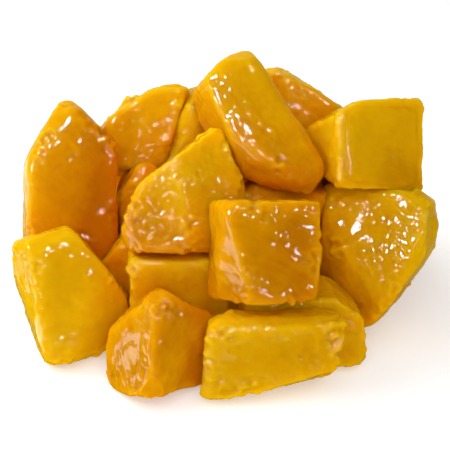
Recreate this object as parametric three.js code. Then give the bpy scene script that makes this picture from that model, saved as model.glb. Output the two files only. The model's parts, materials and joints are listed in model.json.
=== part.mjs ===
// Diced mango: a loose heap of soft, wet, hand-cut dice that lies as it was tipped out.
// Every die is its own solid. Units are millimetres, +Z is up, and -Y is the side the heap is seen from.
// The origin is on the surface the heap stands on, under the middle of its bounding box.

import * as THREE from "three";
import { mergeVertices } from "three/addons/utils/BufferGeometryUtils.js";

// Driving dimensions.
const SEGMENTS = 5; // divisions along each edge of a die
const CRISPNESS = 7; // 2 would be an egg, 20 a sharp cube
const EVEN = 0.75; // below 1 the divisions crowd towards the edges, where a die curves most
const GAP = 0.3; // clearance left between two dice that press on each other
const PRESS_DIRECTIONS = 500; // directions tried when looking for the plane between two dice
const FLOOR = new THREE.Plane(new THREE.Vector3(0, 0, 1), 0);

// Ripeness: the colour of the flesh runs from yellow near the skin to orange near the stone.
const FLESH = {
  yellow: { color: 0xd99a06, roughness: 0.22 },
  golden: { color: 0xd48c05, roughness: 0.2 },
  orange: { color: 0xc86f03, roughness: 0.2 },
};

// Each die: size (width, depth, height), the place of its middle, and its turn about X, Y and Z in degrees.
// taper.ab: the die's half-size along a grows by this share towards +b. skew.ab: it leans along a towards +b.
// bow: how far the middle of a face stands out (+) or is dished in (-), as a share of the half-size.
// cuts: slanting knife cuts, each with the direction it faces in the die's own axes and how far out it lies.
// tips: corners that tore instead of being cut, pulled out by a few millimetres.
// give: how much of a squeeze between two dice this one takes, against the other's. It is 1 unless stated.
const DICE = {
  // The lowest row, seen from the front, left to right.
  left_front: {
    flesh: "yellow", size: [20, 16.5, 25], at: [-33.2, -13.9, 11.5], turn: [-26, -15, 8],
    taper: { xz: -0.06 }, bow: { top: 0.12, front: 0.1 },
    cuts: [
      { facing: [-0.99, -0.06, -0.12], at: 9.6 },
      { facing: [0.91, 0.02, 0.42], at: 8.8 },
      { facing: [0.53, -0.77, -0.36], at: 9.2 },
      { facing: [-0.81, -0.56, 0.15], at: 10.4 },
    ],
    tips: [{ corner: [1, -1, -1], pull: [3, -1, -2], reach: 1.3 }],
  },
  front_left: {
    flesh: "golden", size: [19.5, 16.5, 18], at: [-11.5, -26.5, 7.9], turn: [-26, -3, 38],
    taper: { xz: -0.08 }, skew: { xz: 0.06 }, bow: { top: 0.15 }, give: 1.6,
    cuts: [{ facing: [-0.48, 0.44, 0.76], at: 9.8 }, { facing: [0.5, -0.23, 0.83], at: 8.5 }],
  },
  front: {
    flesh: "yellow", size: [26.6, 10, 13.5], at: [9.2, -30.2, 8.2], turn: [-20, -5, 4],
    taper: { zx: -0.12 }, skew: { xz: 0.13 }, bow: { top: 0.1 },
    cuts: [{ facing: [0.25, -0.34, -0.91], at: 7.6 }],
  },
  front_right: {
    flesh: "yellow", size: [24, 13, 16], at: [16.2, -20.4, 8.3], turn: [-5, -3, 6],
    cuts: [{ facing: [0.66, 0, 0.75], at: 9.5 }],
  },
  right: {
    flesh: "yellow", size: [25.5, 17, 31], at: [30.8, -6.5, 16.3], turn: [-24, 3, -25],
    taper: { xz: 0.08 }, bow: { right: 0.12, front: 0.15 },
    cuts: [
      { facing: [0.49, 0.2, 0.85], at: 16.4 },
      { facing: [0.8, 0.14, -0.59], at: 10.2 },
      { facing: [-0.42, -0.81, -0.42], at: 9 },
      { facing: [0.17, -0.92, 0.36], at: 10.3 },
      { facing: [0.77, -0.63, 0.03], at: 13.4 },
    ],
  },
  low_middle: {
    flesh: "golden", size: [19.5, 16, 21.5], at: [-10, -12.4, 10.3], turn: [-4, 0, 4],
  },
  low_left: {
    flesh: "golden", size: [17, 17, 21], at: [-23.5, -2.5, 9.8], turn: [0, 0, -8], give: 4,
  },
  // The middle row.
  middle: {
    flesh: "golden", size: [19, 16, 19.5], at: [7.5, -20, 26], turn: [-27, 0, 14],
    cuts: [{ facing: [-0.8, -0.54, -0.27], at: 10.1 }],
    tips: [{ corner: [1, -1, 1], pull: [1.5, 0, 1.5], reach: 0.8 }],
  },
  upper_left: {
    flesh: "golden", size: [22, 17, 24], at: [-9, -7.3, 32.4], turn: [-27, -7, -20],
    cuts: [
      { facing: [-0.48, -0.2, 0.86], at: 6.5 },
      { facing: [-0.78, -0.34, 0.52], at: 8.5 },
      { facing: [0.66, -0.74, 0.08], at: 7 },
      { facing: [-0.01, -0.94, 0.35], at: 8.3 },
    ],
  },
  tall_left: {
    flesh: "orange", size: [21, 14, 34.5], at: [-33.4, 6, 27.2], turn: [-28, 0, 16], give: 0.5,
    cuts: [
      { facing: [-0.85, 0.1, 0.51], at: 11.6 },
      { facing: [0.65, -0.15, 0.75], at: 13 },
      { facing: [0.94, -0.19, 0.28], at: 11.2 },
      { facing: [0.85, 0, -0.52], at: 14.3 },
      { facing: [-0.65, -0.61, 0.46], at: 12 },
    ],
  },
  inner_left: {
    flesh: "orange", size: [19, 16, 24], at: [-22.4, 4.5, 21], turn: [-6, 4, 10], give: 4,
  },
  inner_right: {
    flesh: "orange", size: [25, 14, 15], at: [15.5, -1, 27], turn: [-8, 4, 0], give: 2,
  },
  upper_right: {
    flesh: "yellow", size: [20.5, 17, 18.8], at: [29.3, 2, 38], turn: [-30, 0, 28],
    bow: { front: -0.2 },
    cuts: [{ facing: [-0.45, 0.2, 0.87], at: 9.2 }, { facing: [-0.46, 0.33, -0.82], at: 9.3 }],
    tips: [{ corner: [1, -1, 1], pull: [0.8, 0, 1.5], reach: 0.7 }],
  },
  // The top.
  top: {
    flesh: "golden", size: [16.8, 14, 32], at: [5.3, 2, 42], turn: [-46, -27, 6],
    taper: { xz: -0.14 },
    cuts: [
      { facing: [-0.33, -0.26, 0.91], at: 14.6 },
      { facing: [-0.67, 0.37, -0.64], at: 9.5 },
      { facing: [-0.8, -0.4, -0.45], at: 8.6 },
    ],
  },
  back_right: {
    flesh: "orange", size: [21, 15, 19], at: [18, 17, 37], turn: [-26, 8, 10],
    cuts: [{ facing: [0.43, -0.15, 0.89], at: 6.9 }],
  },
  back_left: {
    flesh: "golden", size: [22.5, 15, 18.5], at: [-18.2, 18.5, 34.2], turn: [-28, -2, -8],
    cuts: [{ facing: [-0.55, -0.17, 0.82], at: 6.6 }, { facing: [0.87, 0.18, -0.45], at: 7 }],
    tips: [{ corner: [1, -1, 1], pull: [0.5, 0, 3], reach: 0.8 }],
  },
  back_middle: {
    flesh: "orange", size: [12, 14, 18], at: [-10.3, 16.5, 34.5], turn: [-10, 0, 0], give: 4,
  },
  // Out of sight from the front: the dice that the heap rests on, and its far side.
  core_front: {
    flesh: "golden", size: [18, 18, 25], at: [7.5, -6.5, 12.3], turn: [0, 0, 10], give: 4,
  },
  core_left: {
    flesh: "golden", size: [20, 19, 24], at: [-12, 14, 11.3], turn: [0, 0, 12], give: 4,
  },
  core_right: {
    flesh: "orange", size: [21, 19, 24], at: [12, 13, 11.3], turn: [0, 0, -8], give: 4,
  },
  side_right: {
    flesh: "golden", size: [19, 21, 20], at: [31, 19, 10.5], turn: [6, 5, 12],
  },
  shoulder_right: {
    flesh: "orange", size: [21, 18, 19], at: [28.5, 12, 26], turn: [-8, 12, -20],
  },
  rear_left: {
    flesh: "golden", size: [21, 19, 20], at: [-25, 28, 9.6], turn: [6, -6, 22],
  },
  rear_middle: {
    flesh: "yellow", size: [23, 17, 18], at: [-3, 33, 9], turn: [8, 3, -10],
  },
  rear_right: {
    flesh: "orange", size: [20, 20, 21], at: [19, 33, 10.5], turn: [8, -4, 28],
  },
  rear_upper_left: {
    flesh: "yellow", size: [20, 18, 18], at: [-16, 31, 23], turn: [14, -5, -14],
  },
  rear_upper_right: {
    flesh: "golden", size: [22, 17, 18], at: [7, 30, 26.5], turn: [16, 6, 12],
  },
  side_left: {
    flesh: "yellow", size: [17, 16, 15], at: [-34, 10, 7], turn: [0, 4, -16], give: 2,
  },
};

const radians = THREE.MathUtils.degToRad;
const AXIS = { x: 0, y: 1, z: 2 };
const FACE = { left: [0, -1], right: [0, 1], front: [1, -1], back: [1, 1], bottom: [2, -1], top: [2, 1] };

// A cube of 2 x 2 x 2 whose edges are rounded off, as one closed mesh with shared vertices.
function softCube() {
  const box = new THREE.BoxGeometry(2, 2, 2, SEGMENTS, SEGMENTS, SEGMENTS);
  box.deleteAttribute("normal");
  box.deleteAttribute("uv");
  const cube = mergeVertices(box);
  const points = cube.attributes.position;
  const p = new THREE.Vector3();
  for (let i = 0; i < points.count; i += 1) {
    p.fromBufferAttribute(points, i);
    p.set(...p.toArray().map((t) => Math.sign(t) * Math.abs(t) ** EVEN));
    const power = (t) => Math.abs(t) ** CRISPNESS;
    p.divideScalar((power(p.x) + power(p.y) + power(p.z)) ** (1 / CRISPNESS));
    points.setXYZ(i, p.x, p.y, p.z);
  }
  return cube;
}

// One point of the soft cube, bowed, tapered and skewed as the knife left the die.
function cutPoint(point, { bow = {}, taper = {}, skew = {} }) {
  const p = point.toArray();
  const cut = [...p];
  for (const [face, amount] of Object.entries(bow)) {
    const [axis, side] = FACE[face];
    const height = Math.max(0, p[axis] * side);
    const others = p.filter((_, i) => i !== axis);
    const crown = height ** 2 * (1 - others[0] ** 2) * (1 - others[1] ** 2);
    cut[axis] += side * amount * crown;
  }
  for (const [pair, amount] of Object.entries(taper)) {
    cut[AXIS[pair[0]]] *= 1 + amount * p[AXIS[pair[1]]];
  }
  for (const [pair, amount] of Object.entries(skew)) {
    cut[AXIS[pair[0]]] += amount * p[AXIS[pair[1]]];
  }
  return new THREE.Vector3(...cut);
}

// Moves every point that lies behind a plane straight towards the middle, until it lies on the plane.
function flatten(points, plane) {
  const p = new THREE.Vector3();
  for (let i = 0; i < points.count; i += 1) {
    p.fromBufferAttribute(points, i);
    const behind = plane.distanceToPoint(p);
    if (behind < 0) p.multiplyScalar(plane.constant / (plane.constant - behind));
    points.setXYZ(i, p.x, p.y, p.z);
  }
}

// A die in its own frame: the soft cube brought to size, with its knife cuts and torn tips.
function dieGeometry(die) {
  const geometry = softCube();
  const points = geometry.attributes.position;
  const half = new THREE.Vector3(...die.size).divideScalar(2);
  const p = new THREE.Vector3();
  for (let i = 0; i < points.count; i += 1) {
    p.fromBufferAttribute(points, i);
    const cube = p.clone();
    p.copy(cutPoint(p, die)).multiply(half);
    for (const { corner, pull, reach } of die.tips ?? []) {
      const near = Math.max(0, 1 - cube.distanceTo(new THREE.Vector3(...corner)) / reach);
      p.addScaledVector(new THREE.Vector3(...pull), near ** 2 * (3 - 2 * near));
    }
    points.setXYZ(i, p.x, p.y, p.z);
  }
  for (const { facing, at } of die.cuts ?? []) {
    flatten(points, new THREE.Plane(new THREE.Vector3(...facing).normalize().negate(), at));
  }
  return geometry;
}

function makeDie(name, die) {
  const mesh = new THREE.Mesh(dieGeometry(die), new THREE.MeshStandardMaterial(FLESH[die.flesh]));
  mesh.name = `die_${name}`;
  mesh.position.set(...die.at);
  mesh.rotation.set(...die.turn.map(radians));
  mesh.userData.give = die.give ?? 1;
  mesh.updateMatrixWorld(true);
  return mesh;
}

// Evenly spread directions over a sphere.
function spreadDirections(count) {
  const goldenAngle = Math.PI * (3 - Math.sqrt(5));
  return Array.from({ length: count }, (_, i) => {
    const z = 1 - (2 * i + 1) / count;
    const r = Math.sqrt(1 - z * z);
    return new THREE.Vector3(r * Math.cos(i * goldenAngle), r * Math.sin(i * goldenAngle), z);
  });
}
const DIRECTIONS = spreadDirections(PRESS_DIRECTIONS);

function worldPoints(mesh) {
  const points = mesh.geometry.attributes.position;
  return Array.from({ length: points.count }, (_, i) =>
    new THREE.Vector3().fromBufferAttribute(points, i).applyMatrix4(mesh.matrixWorld),
  );
}

// How far a set of points reaches along a direction.
function reach(points, direction) {
  let most = -Infinity;
  for (const p of points) most = Math.max(most, p.dot(direction));
  return most;
}

// Presses a die flat against a plane of the world.
function pressFlat(mesh, plane) {
  flatten(mesh.geometry.attributes.position, plane.clone().applyMatrix4(mesh.matrixWorld.clone().invert()));
}

// Two dice that would share space are both pressed flat on the plane where they overlap least.
function pressTogether(first, second) {
  const a = worldPoints(first);
  const b = worldPoints(second);
  let least = { depth: Infinity };
  for (const direction of DIRECTIONS) {
    const aEnd = reach(a, direction);
    const depth = aEnd + reach(b, direction.clone().negate());
    if (depth < least.depth) least = { depth, direction, aEnd };
  }
  if (least.depth <= -GAP) return;
  const { depth, direction, aEnd } = least;
  const share = first.userData.give / (first.userData.give + second.userData.give);
  const middle = aEnd - depth * share;
  pressFlat(first, new THREE.Plane(direction.clone().negate(), middle - GAP / 2));
  pressFlat(second, new THREE.Plane(direction.clone(), -middle - GAP / 2));
}

// The dice are laid in the order of the table, each pressed on the surface below and on its neighbours.
const dice = Object.entries(DICE).map(([name, die]) => makeDie(name, die));
dice.forEach((first, i) => {
  pressFlat(first, FLOOR);
  dice.slice(i + 1).forEach((second) => pressTogether(first, second));
});

const heap = new THREE.Group();
heap.add(...dice);

// The origin goes to the surface the heap stands on, under the middle of its bounding box.
const middle = new THREE.Box3().setFromObject(heap, true).getCenter(new THREE.Vector3());
for (const die of dice) die.position.sub(middle.setZ(0));

export default heap;
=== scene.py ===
# %% [markdown]
# # A heap of diced mango
# Ripe mango is cut into dice of about 20 mm, and they lie in a loose, wet heap as they were
# tipped out. The solid dice are given: each has its place and nearly its size. This script gives
# each one a skin of wet, fibrous flesh, and sets up a floor, lamps and a camera to look at the
# heap with. Lengths are in metres, unless a name or a comment says otherwise. The heap stands on
# Z = 0, and it is seen from the -Y side.


# %% Load the solid dice
import json
import math
import random

import bmesh
import bpy
import numpy as np
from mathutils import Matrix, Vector, noise
from mathutils.bvhtree import BVHTree


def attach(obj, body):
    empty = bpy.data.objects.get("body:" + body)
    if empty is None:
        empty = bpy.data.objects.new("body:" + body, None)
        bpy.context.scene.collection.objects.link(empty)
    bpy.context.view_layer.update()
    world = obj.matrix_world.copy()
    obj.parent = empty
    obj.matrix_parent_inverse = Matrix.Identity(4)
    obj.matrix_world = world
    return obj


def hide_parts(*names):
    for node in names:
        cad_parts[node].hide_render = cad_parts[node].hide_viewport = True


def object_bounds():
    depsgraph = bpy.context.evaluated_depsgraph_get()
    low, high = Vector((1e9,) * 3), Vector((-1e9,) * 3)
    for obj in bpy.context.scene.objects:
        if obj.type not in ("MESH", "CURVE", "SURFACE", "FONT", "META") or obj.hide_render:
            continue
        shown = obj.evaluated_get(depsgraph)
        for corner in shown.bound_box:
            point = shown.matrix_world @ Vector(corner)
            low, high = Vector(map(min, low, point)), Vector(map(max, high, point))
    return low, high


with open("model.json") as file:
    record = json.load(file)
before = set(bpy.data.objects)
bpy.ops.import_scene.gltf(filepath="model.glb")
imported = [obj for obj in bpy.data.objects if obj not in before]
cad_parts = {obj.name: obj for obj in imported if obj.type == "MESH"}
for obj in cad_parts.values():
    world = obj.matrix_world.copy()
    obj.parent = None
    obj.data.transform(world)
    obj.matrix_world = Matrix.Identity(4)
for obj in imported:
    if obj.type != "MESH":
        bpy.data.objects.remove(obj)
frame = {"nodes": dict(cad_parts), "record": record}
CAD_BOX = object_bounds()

MM = 0.001
extent = [round((high - low) / MM, 1) for low, high in zip(*CAD_BOX)]
print(len(frame["nodes"]), "dice in a box of", extent, "mm")


# %% [markdown]
# ## The camera
# A heap of food is best seen from about 30 degrees above the table, where tops and sides both
# show. A long lens keeps the pieces in front from looking much larger than those behind. A camera
# looks along its own -Z axis, so a quaternion that tracks -Z to the target turns it there. A
# Track To constraint would turn it too, but this camera never moves, so plain angles are enough.


# %% The camera
LOOK_AT = Vector((-0.55, -2.9, 20.3)) * MM
ELEVATION = math.radians(30)
DISTANCE = 275 * MM
LENS_MM = 100
SENSOR_MM = 36
CLIP_START = 10 * MM

camera_data = bpy.data.cameras.new("camera")
camera_data.lens = LENS_MM
camera_data.sensor_width = SENSOR_MM
camera_data.clip_start = CLIP_START
camera = bpy.data.objects.new("camera", camera_data)
bpy.context.scene.collection.objects.link(camera)
camera.location = LOOK_AT + DISTANCE * Vector((0, -math.cos(ELEVATION), math.sin(ELEVATION)))
camera.rotation_euler = (LOOK_AT - camera.location).to_track_quat("-Z", "Y").to_euler()
bpy.context.scene.camera = camera
print("camera at", [round(c, 3) for c in camera.location])


# %% [markdown]
# ## The floor
# The heap lies on a plain pale table. The table glows a little, as a light table does: that keeps
# the shadows under the heap thin and throws light back up into the lowest dice. A lamp below a
# floor of glass would do the same, but it takes far longer to render.


# %% A helper for materials
def new_material(name):
    """A material with an empty node tree but for its Principled shader and output."""
    material = bpy.data.materials.new(name)
    material.use_nodes = True
    nodes = material.node_tree.nodes
    nodes.clear()
    output = nodes.new("ShaderNodeOutputMaterial")
    shader = nodes.new("ShaderNodeBsdfPrincipled")
    material.node_tree.links.new(shader.outputs["BSDF"], output.inputs["Surface"])
    return material, shader


floor_paint, floor_shader = new_material("pale floor")
print("a material with", len(floor_paint.node_tree.nodes), "nodes for the", floor_paint.name)


# %% The floor
FLOOR_SIDE = 4.0
# Two surfaces in one plane flicker, so the floor lies this far below the undersides of the dice.
FLOOR_DROP = 0.05 * MM
PALE = (0.9, 0.9, 0.9, 1)
WHITE = (1, 1, 1, 1)
GLOW = 0.3
MATT = 0.8

floor_mesh = bpy.data.meshes.new("floor")
bm = bmesh.new()
bmesh.ops.create_grid(bm, x_segments=1, y_segments=1, size=FLOOR_SIDE / 2)
bm.to_mesh(floor_mesh)
bm.free()
floor = bpy.data.objects.new("floor", floor_mesh)
bpy.context.scene.collection.objects.link(floor)
floor.location.z = -FLOOR_DROP
floor_shader.inputs["Base Color"].default_value = PALE
floor_shader.inputs["Emission Color"].default_value = WHITE
floor_shader.inputs["Emission Strength"].default_value = GLOW
floor_shader.inputs["Roughness"].default_value = MATT
floor_shader.inputs["Specular IOR Level"].default_value = 0
floor_mesh.materials.append(floor_paint)
floor.visible_glossy = False
print("a floor of", FLOOR_SIDE, "m on each side")


# %% [markdown]
# ## The lamps
# Wet food needs two kinds of lamp. Large softboxes all round light the flesh evenly. Small bright
# lamps give the wet skin its white glints. One set could do both, but then each change to the
# glints would change the light on the flesh too. So the softboxes are hidden from glossy rays,
# and the small lamps from diffuse rays.


# %% Helpers for lamps
def lamp(name, place, target, sides, radiance):
    """A rectangular lamp at a place, facing a target. Radiance is how bright its face looks."""
    data = bpy.data.lights.new(name, "AREA")
    data.shape = "RECTANGLE"
    data.size, data.size_y = sides
    data.energy = radiance * math.pi * sides[0] * sides[1]
    lit = bpy.data.objects.new(name, data)
    lit.location = place
    lit.rotation_euler = (Vector(target) - Vector(place)).to_track_quat("-Z", "Y").to_euler()
    lit.visible_camera = False
    bpy.context.scene.collection.objects.link(lit)
    return lit


def toward(azimuth, elevation, distance):
    """A place around the heap. Angles are in degrees: azimuth 0 faces the camera's side."""
    a, e = math.radians(azimuth), math.radians(elevation)
    right, back, up = math.sin(a) * math.cos(e), -math.cos(a) * math.cos(e), math.sin(e)
    return LOOK_AT + distance * Vector((right, back, up))


print("one metre in front of the heap:", [round(c, 3) for c in toward(0, 0, 1)])


# %% The softboxes, strongest on the left
SOFTBOX = (0.3, 0.3)
NEAR = 0.35

softboxes = [
    lamp(name, toward(azimuth, elevation, NEAR), LOOK_AT, SOFTBOX, radiance)
    for name, azimuth, elevation, radiance in (
        ("left softbox", -80, 35, 2.1),
        ("far left softbox", -130, 40, 2.8),
        ("top softbox", 0, 65, 0.9),
        ("front softbox", 0, 30, 1.4),
        ("right softbox", 60, 40, 0.7),
    )
]
for softbox in softboxes:
    softbox.visible_glossy = False
print(len(softboxes), "softboxes")


# %% [markdown]
# The key lamps are small and very bright, for crisp glints. The windows are weaker and wider: a
# wet face that mirrors one gets a pale, ragged patch. The cards lie on the table beside the heap
# and face up, and show in the faces that lean outwards. Glints painted on the flesh would be
# simpler, but they would stay where they are when the camera moves.


# %% The lamps for the glints
FAR = 0.65
CARD_HEIGHT = 0.5 * MM

glint_lamps = [
    lamp(name, toward(azimuth, elevation, FAR), LOOK_AT, sides, radiance)
    for name, azimuth, elevation, sides, radiance in (
        ("left key", -64, 42, (0.1, 0.1), 90),
        ("top key", -14, 68, (0.1, 0.1), 90),
        ("front key", -2, 47, (0.08, 0.06), 90),
        ("right key", 40, 28, (0.06, 0.06), 45),
        ("window", -42, 30, (0.15, 0.09), 8),
        ("low window", -25, 12, (0.08, 0.05), 13),
    )
]
glint_lamps += [
    lamp(name, (x, y, CARD_HEIGHT), (x, y, 1), sides, radiance)
    for name, x, y, sides, radiance in (
        ("left card", -0.13, -0.07, (0.16, 0.1), 4),
        ("far left card", -0.13, 0.04, (0.12, 0.1), 1),
        ("front card", -0.02, -0.11, (0.14, 0.05), 1),
    )
]
for glint_lamp in glint_lamps:
    glint_lamp.visible_diffuse = False
print(len(glint_lamps), "lamps for the glints")


# %% [markdown]
# ## The room
# The room gives a little pale light from everywhere. In the gloss it has to be nearly black, or
# each wet face would look milky. Only a warm, bright board behind the heap shows there. It lights
# the edges that turn away from the camera, which would be dark lines without it, and a white
# board would make them look chalky. The Light Path node tells glossy rays from the others. An
# environment texture could light the room instead, but the board could not be moved in it.


# %% The brightness of the room
ROOM = 0.24
DARK_ROOM = 0.02
BOARD = 0.7
# The board shows where the Y part of a ray's direction is above the first of these.
BOARD_STARTS = 0.55
BOARD_FULL = 0.9

world = bpy.data.worlds.new("studio")
world.use_nodes = True
nodes = world.node_tree.nodes
links = world.node_tree.links
seen_in_gloss = nodes.new("ShaderNodeLightPath").outputs["Is Glossy Ray"]
direction = nodes.new("ShaderNodeSeparateXYZ")
links.new(nodes.new("ShaderNodeTexCoord").outputs["Generated"], direction.inputs["Vector"])
board = nodes.new("ShaderNodeMapRange")
board.inputs["From Min"].default_value = BOARD_STARTS
board.inputs["From Max"].default_value = BOARD_FULL
board.inputs["To Min"].default_value = DARK_ROOM
board.inputs["To Max"].default_value = BOARD
links.new(direction.outputs["Y"], board.inputs["Value"])
strength = nodes.new("ShaderNodeMapRange")
strength.inputs["To Min"].default_value = ROOM
links.new(seen_in_gloss, strength.inputs["Value"])
links.new(board.outputs["Result"], strength.inputs["To Max"])
links.new(strength.outputs["Result"], nodes["Background"].inputs["Strength"])
bpy.context.scene.world = world
print("a room of brightness", ROOM, "and", DARK_ROOM, "in the gloss")


# %% The colour of the room
BOARD_COLOUR = (1, 0.72, 0.3, 1)

tint = nodes.new("ShaderNodeMix")
tint.data_type = "RGBA"
white, warm = [socket for socket in tint.inputs if socket.type == "RGBA"]
white.default_value = WHITE
warm.default_value = BOARD_COLOUR
links.new(seen_in_gloss, tint.inputs[0])
mixed = next(socket for socket in tint.outputs if socket.type == "RGBA")
links.new(mixed, nodes["Background"].inputs["Color"])
bpy.context.scene.view_settings.view_transform = "Standard"
print("white from everywhere, and", BOARD_COLOUR[:3], "in the gloss")


# %% [markdown]
# ## How open the flesh lies
# Flesh deep between the dice gets less light than flesh on top of the heap. The material paints
# light and shade into its colour by where a point lies, and the glow of thin edges too, so it has
# to know that. An ambient occlusion node could tell, but only while rendering. Here rays go out
# from each point of the solid dice over the whole sky, and the share that meets no die is kept
# with the point.


# %% A search tree of all the dice
def tree_of(solids):
    """A search tree of the surfaces of some solid dice."""
    bm = bmesh.new()
    for solid in solids:
        bm.from_mesh(solid.data)
    tree = BVHTree.FromBMesh(bm)
    bm.free()
    return tree


solids = frame["nodes"].values()
all_dice = tree_of(solids)
print(sum(len(solid.data.polygons) for solid in solids), "triangles in the search tree")


# %% The openness of a point
SKY_REACH = 25 * MM
SKY_RAYS = 96
CLEAR = 0.5 * MM


def spread_directions(count):
    """Directions spread evenly over a sphere, along a golden spiral."""
    directions = []
    for i in range(count):
        z = 1 - (2 * i + 1) / count
        turn = i * math.pi * (3 - math.sqrt(5))
        side = math.sqrt(1 - z * z)
        directions.append(Vector((side * math.cos(turn), side * math.sin(turn), z)))
    return directions


SKY = spread_directions(SKY_RAYS)


def openness(place, normal):
    """How much of the sky over a point of a die the dice leave free, from 0 to 1."""
    start = place + normal * CLEAR
    rays = [(way, way.dot(normal)) for way in SKY if way.dot(normal) > 0]
    free = sum(slant for way, slant in rays if all_dice.ray_cast(start, way, SKY_REACH)[0] is None)
    return free / sum(slant for _, slant in rays)


UP = Vector((0, 0, 1))
highest = max((vertex.co for solid in solids for vertex in solid.data.vertices), key=UP.dot)
print("open on top of the heap:", round(openness(highest, UP), 2))
print("open in the middle of its base:", round(openness(Vector((0, 0, 0)), UP), 2))


# %% [markdown]
# ## The net of a die
# Relief of half a millimetre can only show as shape on an even net of small quads. The solid die
# has a few hundred triangles. They are merged, paired up into quads and subdivided, which also
# rounds the edges a little. A remesh would give an even net too, but it would lose the openness
# that is stored at each point.


# %% The net
FINE_LEVELS = 4
COARSE_LEVELS = 3
# Corners closer than this, in metres, are one corner.
SAME_PLACE = 1e-6


def net_of(solid, levels):
    """The solid die's shape as an even, rounded net of quads, with the openness of each point."""
    bm = bmesh.new()
    bm.from_mesh(solid.data)
    bmesh.ops.remove_doubles(bm, verts=bm.verts, dist=SAME_PLACE)
    bmesh.ops.recalc_face_normals(bm, faces=bm.faces)
    bm.normal_update()
    layer = bm.verts.layers.float.new("open")
    for vertex in bm.verts:
        vertex[layer] = openness(vertex.co, vertex.normal)
    bmesh.ops.join_triangles(
        bm, faces=bm.faces, angle_face_threshold=math.pi, angle_shape_threshold=math.pi
    )
    mesh = bpy.data.meshes.new("rough")
    bm.to_mesh(mesh)
    bm.free()
    piece = bpy.data.objects.new("rough", mesh)
    bpy.context.scene.collection.objects.link(piece)
    subdivision = piece.modifiers.new("net", "SUBSURF")
    subdivision.levels = levels
    subdivision.render_levels = levels
    evaluated = piece.evaluated_get(bpy.context.evaluated_depsgraph_get())
    net = bpy.data.meshes.new_from_object(evaluated)
    bpy.data.objects.remove(piece)
    bpy.data.meshes.remove(mesh)
    return net


sample = frame["nodes"]["die_front"]
sample_net = net_of(sample, COARSE_LEVELS)
quads = len(sample_net.polygons)
print("the front die:", len(sample.data.polygons), "triangles made into", quads, "quads")


# %% The points of a net
def read(source, name, size=3):
    """An array of a mesh's numbers, such as its points."""
    values = np.empty(len(source) * size)
    source.foreach_get(name, values)
    return values.reshape(-1, size)


sample_points = read(sample_net.vertices, "co")
bpy.data.meshes.remove(sample_net)
print("the front die is", np.round(np.ptp(sample_points, axis=0) / MM, 1), "mm along X, Y and Z")


# %% [markdown]
# ## The cuts of the knife
# A knife leaves flat faces that meet in edges. Creases on the subdivision would sharpen the
# edges, but a crease needs to be placed by hand. Here the flat faces are found as large groups of
# triangles that face one way. Then the points near an edge are pushed out towards the planes
# beside it. Some dice are riper and softer, so their edges stay rounder. How close a point lies
# to an edge is kept too, for the torn edges and for the glow painted on thin edges.


# %% The flat faces of a die
# Triangles that face one way to within this angle are one flat face.
FACET_SPREAD = math.radians(11)
# A group with a smaller share of the die's area than this is not a face.
FACET_SHARE = 0.02
# Triangles up to this many times the angle away are the rounded border of a face.
FACET_BORDER = 1.4


def facets(mesh, middle):
    """The flat faces of the knife: which way each one faces, and how far from the middle it is."""
    areas = read(mesh.polygons, "area", 1)[:, 0]
    ways = read(mesh.polygons, "normal")
    reach = np.einsum("ij,ij->i", ways, read(mesh.polygons, "center") - middle)
    near = ways @ ways.T > math.cos(FACET_SPREAD)
    left = areas.copy()
    found = []
    while True:
        group = near[np.argmax(near @ left)] & (left > 0)
        if left[group].sum() < FACET_SHARE * areas.sum():
            return found
        way = (ways[group] * left[group, None]).sum(axis=0)
        way /= np.linalg.norm(way)
        found.append((way, np.average(reach[group], weights=left[group])))
        left[ways @ way > math.cos(FACET_BORDER * FACET_SPREAD)] = 0


flat_faces = facets(sample.data, sample_points.mean(axis=0))
print("the front die has", len(flat_faces), "flat faces")


# %% Sharper edges
# The higher the number, the sharper the edges.
CRISP = 32
SOFT = 15
SOFT_DICE = ("left_front", "top", "right", "back_left", "front_left")
# Nothing is pushed out by more than this.
SHARPEN = 1.4 * MM
# How near an edge a point is goes up to 1, and falls off faster with a higher number.
THIN_FALLOFF = 4


def sharpened(points, solid, crispness):
    """Points pushed out to the flat faces, how far each went, and how near an edge it is."""
    middle = points.mean(axis=0)
    reach = np.linalg.norm(points - middle, axis=1)
    way = (points - middle) / reach[:, None]
    flat = facets(solid, middle)
    planes = np.stack([way @ facing / distance for facing, distance in flat], axis=1)
    blend = (np.maximum(planes, 0) ** crispness).sum(axis=1)
    push = np.clip(blend ** (-1 / crispness) - reach, 0, SHARPEN)
    second, first = np.sort(planes, axis=1)[:, -2:].T
    return points + way * push[:, None], push, np.maximum(second / first, 0) ** THIN_FALLOFF


push = sharpened(sample_points, sample.data, CRISP)[1]
print("its edges are pushed out by up to", round(push.max() / MM, 2), "mm")


# %% [markdown]
# ## The relief of the flesh
# Cut mango is never quite flat. It has wide dents where it was handled, low waves that bend the
# glints, strands of fibre, clusters of small beads, and tatters where an edge tore. A bump map
# could draw all of them, but on the outline of a die only real shape shows. So each point moves
# along its normal by a sum of noises of different sizes. A small swell is added, which closes the
# narrow gaps between the solid dice. With it and the sharper edges, a die ends up about 2 mm
# wider than its solid, and dice that touch reach into each other, by about 3 mm at most. The
# fibres run one way through each die, because each die was cut from one slice.


# %% Two kinds of noise
def waves(place, size, shift):
    """A smooth noise around 0 with waves of this size. Each shift gives another noise."""
    return noise.noise(place / size + Vector(shift))


def patches(place, size, shift, contrast, share):
    """A noise that is 0 in some places and 1 in others. More share gives larger patches."""
    return min(1, max(0, contrast * waves(place, size, shift) + share))


for step in range(4):
    print("noise", step, "mm from a start:", round(waves(Vector((step, 0, 0)), 7, (0, 0, 0)), 2))


# %% The relief
# How high each kind of relief stands.
SWELL = 0.4 * MM
DENT = 0.55 * MM
WAVE = 0.2 * MM
STRAND = 0.09 * MM
BEAD = 0.13 * MM
TEAR = 2.4 * MM
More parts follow.
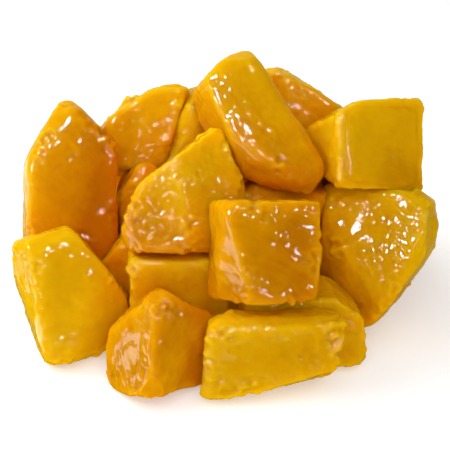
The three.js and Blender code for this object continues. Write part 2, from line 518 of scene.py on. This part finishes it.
# How wide each kind is, and the patches it comes in, in millimetres.
DENT_SIZE = 7
WAVE_SIZE = 2.6
STRAND_LENGTH = 4
STRAND_WIDTH = 1.3
BEAD_SIZE = 1.1
TATTER_SIZE = 1.5
STRANDS_PATCH = 6
BEADS_PATCH = 5
TORN_PATCH = 5


def relief(place, fibre_place, edge):
    """How far the skin stands out, in metres. Places are in millimetres; on an edge, edge is 1."""
    dents = DENT * waves(place, DENT_SIZE, (0, 0, 0))
    low_waves = WAVE * waves(place, WAVE_SIZE, (40, 0, 0))

    x, y, z = fibre_place
    stranded = patches(place, STRANDS_PATCH, (0, 40, 0), contrast=4, share=0.5)
    strand = noise.noise(Vector((x / STRAND_LENGTH, y / STRAND_WIDTH, z / STRAND_WIDTH)))
    strands = STRAND * stranded * strand

    beaded = patches(place, BEADS_PATCH, (0, 0, 90), contrast=5, share=-0.3)
    beads = BEAD * beaded * waves(place, BEAD_SIZE, (0, 90, 0))

    torn = patches(place, TORN_PATCH, (0, 0, 40), contrast=1, share=0.05)
    tatters = TEAR * torn * edge * waves(place, TATTER_SIZE, (80, 0, 0))
    return SWELL + dents + low_waves + strands + beads + tatters


SAMPLES = 300
SAMPLE_STEP = 0.3
line = [Vector((step * SAMPLE_STEP, 0, 0)) for step in range(SAMPLES)]
heights = [relief(place, place, 0) / MM for place in line]
print("the flesh stands out by", round(min(heights), 2), "to", round(max(heights), 2), "mm")


# %% The way the fibres run
# How far each die lies from the one before it in the noise, so that no two are alike.
NOISE_STEP = (17.3, 5.1, 9.7)


def fibre_axes(seed):
    """Three directions at right angles, the first along the fibres."""
    chance = random.Random(seed)
    along = Vector([chance.gauss(0, 1) for _ in range(3)]).normalized()
    return along.to_track_quat("X", "Z").to_matrix()


def roughened(points, normals, seed, push):
    """Points moved along their normals by the relief, and their places along the fibres."""
    offset = np.array(NOISE_STEP) * seed
    places = points / MM + offset
    fibre_places = places @ np.array(fibre_axes(seed))
    rows = zip(places, fibre_places, push / SHARPEN)
    heights = [relief(Vector(place), Vector(along), edge) for place, along, edge in rows]
    return points + normals * np.array(heights)[:, None], fibre_places


print("fibres of the first die run along", [round(part, 2) for part in fibre_axes(1).col[0]])


# %% [markdown]
# ## Ripeness and painted shade
# The flesh of one mango goes from pale yellow to deep orange, so most dice change colour from one
# end to the other. Here the deeper end is mostly the side that lies away from the main light,
# often the bottom, so the change paints shade into the colour as well as ripeness. Each point gets
# a number for how deep its colour is, and the material turns the number into a colour. Painting
# the colour on each die would work as well, but a direction and two numbers say the same.


# %% Ripeness and painted shade
# For each die in sight: the direction in which its colour deepens, partly as painted shade away
# from the main light, and how deep its two ends are.
RIPENING_AND_SHADE = {
    "left_front": ((1, 0, 0), 0, 0.6),
    "front_left": ((1, 0, 0), 0.6, 1.2),
    "front": ((1, 0, 0), 0.3, 0.7),
    "front_right": ((1, 0, 0), 0.3, 0.6),
    "right": ((-1, 0, -1), 0.3, 1),
    "low_middle": ((-1, 0, -1), 0.1, 0.6),
    "low_left": ((0, 0, -1), 0.5, 0.6),
    "middle": ((1, 0, -1), 0.7, 1.1),
    "upper_left": ((0, 0, -1), -0.1, 1.4),
    "tall_left": ((1, 0, -0.3), 0, 1.5),
    "inner_left": ((0, 0, -1), 0.7, 0.9),
    "inner_right": ((0, 0, -1), 0.8, 1),
    "upper_right": ((0.3, 0, -1), 0.2, 1),
    "top": ((0.3, 0.2, -1), 0.3, 1.5),
    "back_right": ((1, 0, 0), 0.3, 0.5),
    "back_left": ((0, 0, -1), 0.2, 1.1),
    "back_middle": ((0, 0, -1), -0.2, 0.4),
}
OUT_OF_SIGHT = ((0, 0, -1), 0.2, 0.6)


def ripeness_and_shade(place_in_heap, points):
    """Ripeness and painted shade at each point, from 0 for pale to about 1 for deep orange."""
    way, start, end = RIPENING_AND_SHADE.get(place_in_heap, OUT_OF_SIGHT)
    along = points @ np.array(way)
    return start + (end - start) * (along - along.min()) / np.ptp(along)


print(len(RIPENING_AND_SHADE), "dice in sight have their own ripeness")


# %% [markdown]
# ## A finished die
# The steps come together here. The dice in sight get the fine net and the others the coarse one.
# The relief can lift a point out of the box of the solid heap, so the points are clipped to it,
# which leaves flat spots on the outermost dice. What the material needs to know is stored as
# attributes, because attributes stay with the points wherever the die goes. Geometry nodes could
# hold all these steps, but in a script each step can be read and measured.


# %% A finished die
def keep(mesh, name, kind, field, values):
    """Stores one value for each point of a mesh."""
    mesh.attributes.new(name, kind, "POINT").data.foreach_set(field, values.reshape(-1))


def finished_die(name, solid, seed):
    """The finished die for a solid one."""
    place_in_heap = name.removeprefix("mango_")
    mesh = net_of(solid, FINE_LEVELS if place_in_heap in RIPENING_AND_SHADE else COARSE_LEVELS)
    mesh.name = name
    crispness = SOFT if place_in_heap in SOFT_DICE else CRISP
    points, push, thin = sharpened(read(mesh.vertices, "co"), solid.data, crispness)
    mesh.vertices.foreach_set("co", points.reshape(-1))
    mesh.update()
    points, fibre_places = roughened(points, read(mesh.vertex_normals, "vector"), seed, push)
    points = np.clip(points, np.array(CAD_BOX[0]), np.array(CAD_BOX[1]))
    mesh.vertices.foreach_set("co", points.reshape(-1))
    keep(mesh, "fibre", "FLOAT_VECTOR", "vector", fibre_places)
    keep(mesh, "thin", "FLOAT", "value", thin)
    keep(mesh, "ripe_and_shaded", "FLOAT", "value", ripeness_and_shade(place_in_heap, points))
    mesh.shade_smooth()
    mesh.update()
    piece = bpy.data.objects.new(name, mesh)
    bpy.context.scene.collection.objects.link(piece)
    return piece


print(len(frame["nodes"]) - len(RIPENING_AND_SHADE), "dice out of sight get the coarse net")


# %% [markdown]
# ## The flesh
# Mango flesh is translucent: light goes a few millimetres in, red furthest, and comes out again
# warmer. Subsurface scattering does that, and a plain colour would look like painted plaster. The
# flesh is never one colour. It follows the ripeness, which carries painted shade too, with paler
# fibres and blotches in it. Thin edges that lie open get a painted glow: they are painted paler,
# as if light shone through them. The texture nodes work on each die's own coordinates, so the
# pattern would stay in the flesh if a die were moved.


# %% Helpers that read a place on the die
def attribute(tree, name):
    """A node that reads what is stored at each point of the die."""
    node = tree.nodes.new("ShaderNodeAttribute")
    node.attribute_name = name
    return node


def pattern(tree, vector, scale, detail):
    """A noise pattern, from 0 to 1 around 0.5."""
    node = tree.nodes.new("ShaderNodeTexNoise")
    node.inputs["Scale"].default_value = scale
    node.inputs["Detail"].default_value = detail
    tree.links.new(vector, node.inputs["Vector"])
    return node.outputs["Fac"]


def along_fibres(tree, stretch):
    """Coordinates in which a noise is drawn out along the fibres. A small stretch is long."""
    node = tree.nodes.new("ShaderNodeVectorMath")
    node.operation = "MULTIPLY"
    node.inputs[1].default_value = (stretch, 1, 1)
    tree.links.new(attribute(tree, "fibre").outputs["Vector"], node.inputs[0])
    return node.outputs["Vector"]


made = (attribute, pattern, along_fibres)
print("helpers made:", ", ".join(helper.__name__ for helper in made))


# %% Helpers that turn one value into another
def number(tree, operation, *values):
    """A maths node. Each value is a number or another node's output."""
    node = tree.nodes.new("ShaderNodeMath")
    node.operation = operation
    for socket, value in zip(node.inputs, values):
        if isinstance(value, bpy.types.NodeSocket):
            tree.links.new(value, socket)
        else:
            socket.default_value = value
    return node.outputs["Value"]


def ramp(tree, value, *stops):
    """Colours along a value: each stop is a place and a colour."""
    node = tree.nodes.new("ShaderNodeValToRGB")
    while len(node.color_ramp.elements) < len(stops):
        node.color_ramp.elements.new(0.5)
    for element, (at, colour) in zip(node.color_ramp.elements, stops):
        element.position = at
        element.color = (*colour, 1)
    tree.links.new(value, node.inputs["Fac"])
    return node.outputs["Color"]


made = (number, ramp)
print("helpers made:", ", ".join(helper.__name__ for helper in made))


# %% [markdown]
# Flesh on top of the heap gets far more light than flesh between the dice. So light and shade are
# painted into the colour by openness: painted shade darkens what lies on top, and painted light
# keeps what lies below at its full, warm colour. Weaker lamps would darken the whole heap instead.


# %% The colour of the flesh
# How much paler the painted glow of light through the flesh makes thin edges that lie open.
THIN_EDGE_GLOW = 0.35
FIBRES = 0.35
FIBRE_STRETCH = 0.18
FIBRES_PER_MM = 0.9
BLOTCHES = 0.7
BLOTCHES_PER_M = 130
# Painted light and shade: what the colour is multiplied by at an openness of 0, 0.4 and 1.
PAINTED_LIGHT_AND_SHADE = ((0, (1, 0.95, 0.5)), (0.4, (0.87, 0.87, 1)), (1, (0.72, 0.76, 1)))


def flesh_colour(tree, pale, golden, deep):
    """The colour of the flesh, from three colours as linear RGB, with light and shade painted in.
    """
    place = tree.nodes.new("ShaderNodeTexCoord").outputs["Object"]
    is_open = attribute(tree, "open").outputs["Fac"]
    # Thin edges that lie open, where a glow of light through the flesh is painted.
    thin = number(tree, "MULTIPLY", attribute(tree, "thin").outputs["Fac"], is_open)
    drawn_out = along_fibres(tree, FIBRE_STRETCH)
    fibres = number(tree, "SUBTRACT", 0.5, pattern(tree, drawn_out, FIBRES_PER_MM, detail=3))
    blotches = number(tree, "SUBTRACT", 0.5, pattern(tree, place, BLOTCHES_PER_M, detail=3))
    # The painted glow makes thin open edges paler.
    ripe_and_shaded = number(tree, "MULTIPLY_ADD", thin, -THIN_EDGE_GLOW, attribute(tree, "ripe_and_shaded").outputs["Fac"])
    ripe_and_shaded = number(tree, "MULTIPLY_ADD", fibres, FIBRES, ripe_and_shaded)
    ripe_and_shaded = number(tree, "MULTIPLY_ADD", blotches, BLOTCHES, ripe_and_shaded)
    mix = tree.nodes.new("ShaderNodeMix")
    mix.data_type = "RGBA"
    mix.blend_type = "MULTIPLY"
    mix.inputs[0].default_value = 1
    first, second = [socket for socket in mix.inputs if socket.type == "RGBA"]
    tree.links.new(ramp(tree, ripe_and_shaded, (0, pale), (0.5, golden), (1, deep)), first)
    # Painted light and shade: lighter and warmer between the dice, darker on top.
    tree.links.new(ramp(tree, is_open, *PAINTED_LIGHT_AND_SHADE), second)
    return next(socket for socket in mix.outputs if socket.type == "RGBA")


# Thin open edges are painted paler, as a glow of light through them.
print("thin edges make the flesh less ripe by up to", THIN_EDGE_GLOW)


# %% [markdown]
# The finest relief is made of ripples along the fibres, the narrow seams between them, and the
# grain of the cells. It only breaks up the glints. A net fine enough for it would need hundreds
# of thousands of quads for each die, so it is left to bump nodes.


# %% The finest relief
STRAND_STRETCH = 0.4
RIPPLE = 0.06 * MM
RIPPLES_PER_MM = 0.55
SEAM = 0.09 * MM
SEAM_WIDTH = 0.12
SEAMS_PER_MM = 0.75
GRAIN = 0.008 * MM
GRAINS_PER_M = 1500


def bump(tree, height, depth, under=None):
    """The normal of a relief that is depth metres deep, on top of another normal."""
    node = tree.nodes.new("ShaderNodeBump")
    node.inputs["Distance"].default_value = depth
    tree.links.new(height, node.inputs["Height"])
    if under:
        tree.links.new(under, node.inputs["Normal"])
    return node.outputs["Normal"]


def fine_normal(tree):
    """The normal of the finest relief, on top of the die's own."""
    place = tree.nodes.new("ShaderNodeTexCoord").outputs["Object"]
    strands = along_fibres(tree, STRAND_STRETCH)
    ripple = pattern(tree, strands, RIPPLES_PER_MM, detail=1)
    from_seam = number(tree, "SUBTRACT", pattern(tree, strands, SEAMS_PER_MM, detail=2), 0.5)
    seam = number(tree, "MINIMUM", number(tree, "ABSOLUTE", from_seam), SEAM_WIDTH)
    grain = pattern(tree, place, GRAINS_PER_M, detail=2)
    normal = bump(tree, ripple, RIPPLE)
    normal = bump(tree, seam, SEAM, normal)
    return bump(tree, grain, GRAIN, normal)


print("ripples are", round(RIPPLE / MM, 3), "mm deep and the grain", round(GRAIN / MM, 3), "mm")


# %% [markdown]
# The three kinds of flesh differ in colour alone. Their roughness is low, because juice covers
# them, and their refractive index is that of sugary water. A coat would put the juice on as a
# layer of its own, but on flesh as wet as this nothing dry shows through it.


# %% The three kinds of flesh
WET = 0.04
JUICE_IOR = 1.36
# How deep light goes in, and the share of it that red, green and blue light reach.
LIGHT_REACH = 5 * MM
REACH_OF_COLOURS = (1, 0.65, 0.15)


def flesh(name, pale, golden, deep):
    """Wet flesh, with its three colours as linear RGB."""
    material, shader = new_material(name)
    tree = material.node_tree
    tree.links.new(flesh_colour(tree, pale, golden, deep), shader.inputs["Base Color"])
    tree.links.new(fine_normal(tree), shader.inputs["Normal"])
    shader.inputs["Roughness"].default_value = WET
    shader.inputs["IOR"].default_value = JUICE_IOR
    shader.inputs["Subsurface Weight"].default_value = 1
    shader.inputs["Subsurface Radius"].default_value = REACH_OF_COLOURS
    shader.inputs["Subsurface Scale"].default_value = LIGHT_REACH
    return material


# The palest, the middle and the deepest colour of each kind, for ripeness and painted shade.
COLOURS = {
    "yellow": ((0.98, 0.55, 0.002), (0.88, 0.43, 0.001), (0.66, 0.26, 0.0005)),
    "golden": ((0.98, 0.53, 0.002), (0.88, 0.39, 0.001), (0.66, 0.22, 0.0005)),
    "orange": ((0.98, 0.50, 0.002), (0.88, 0.355, 0.001), (0.64, 0.19, 0.0005)),
}
FLESH = {f"flesh_{kind}": flesh(f"{kind} flesh", *colours) for kind, colours in COLOURS.items()}
print(len(FLESH), "kinds of flesh")


# %% [markdown]
# ## Dress every die
# Each finished die rides on the heap's only body, takes the place of its solid one and says which
# kind of flesh it is. The seed follows the order of the names, so each die looks the same on
# every run.


# %% Dress every die
slots = {part["node"]: part["material_slot"] for part in frame["record"]["subparts"]}
triangles = 0
for seed, name in enumerate(sorted(frame["nodes"]), start=1):
    piece = finished_die(name.replace("die_", "mango_"), frame["nodes"][name], seed)
    piece.data.materials.append(FLESH[slots[name]])
    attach(piece, "root")
    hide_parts(name)
    triangles += 2 * len(piece.data.polygons)
print(triangles, "triangles in all")
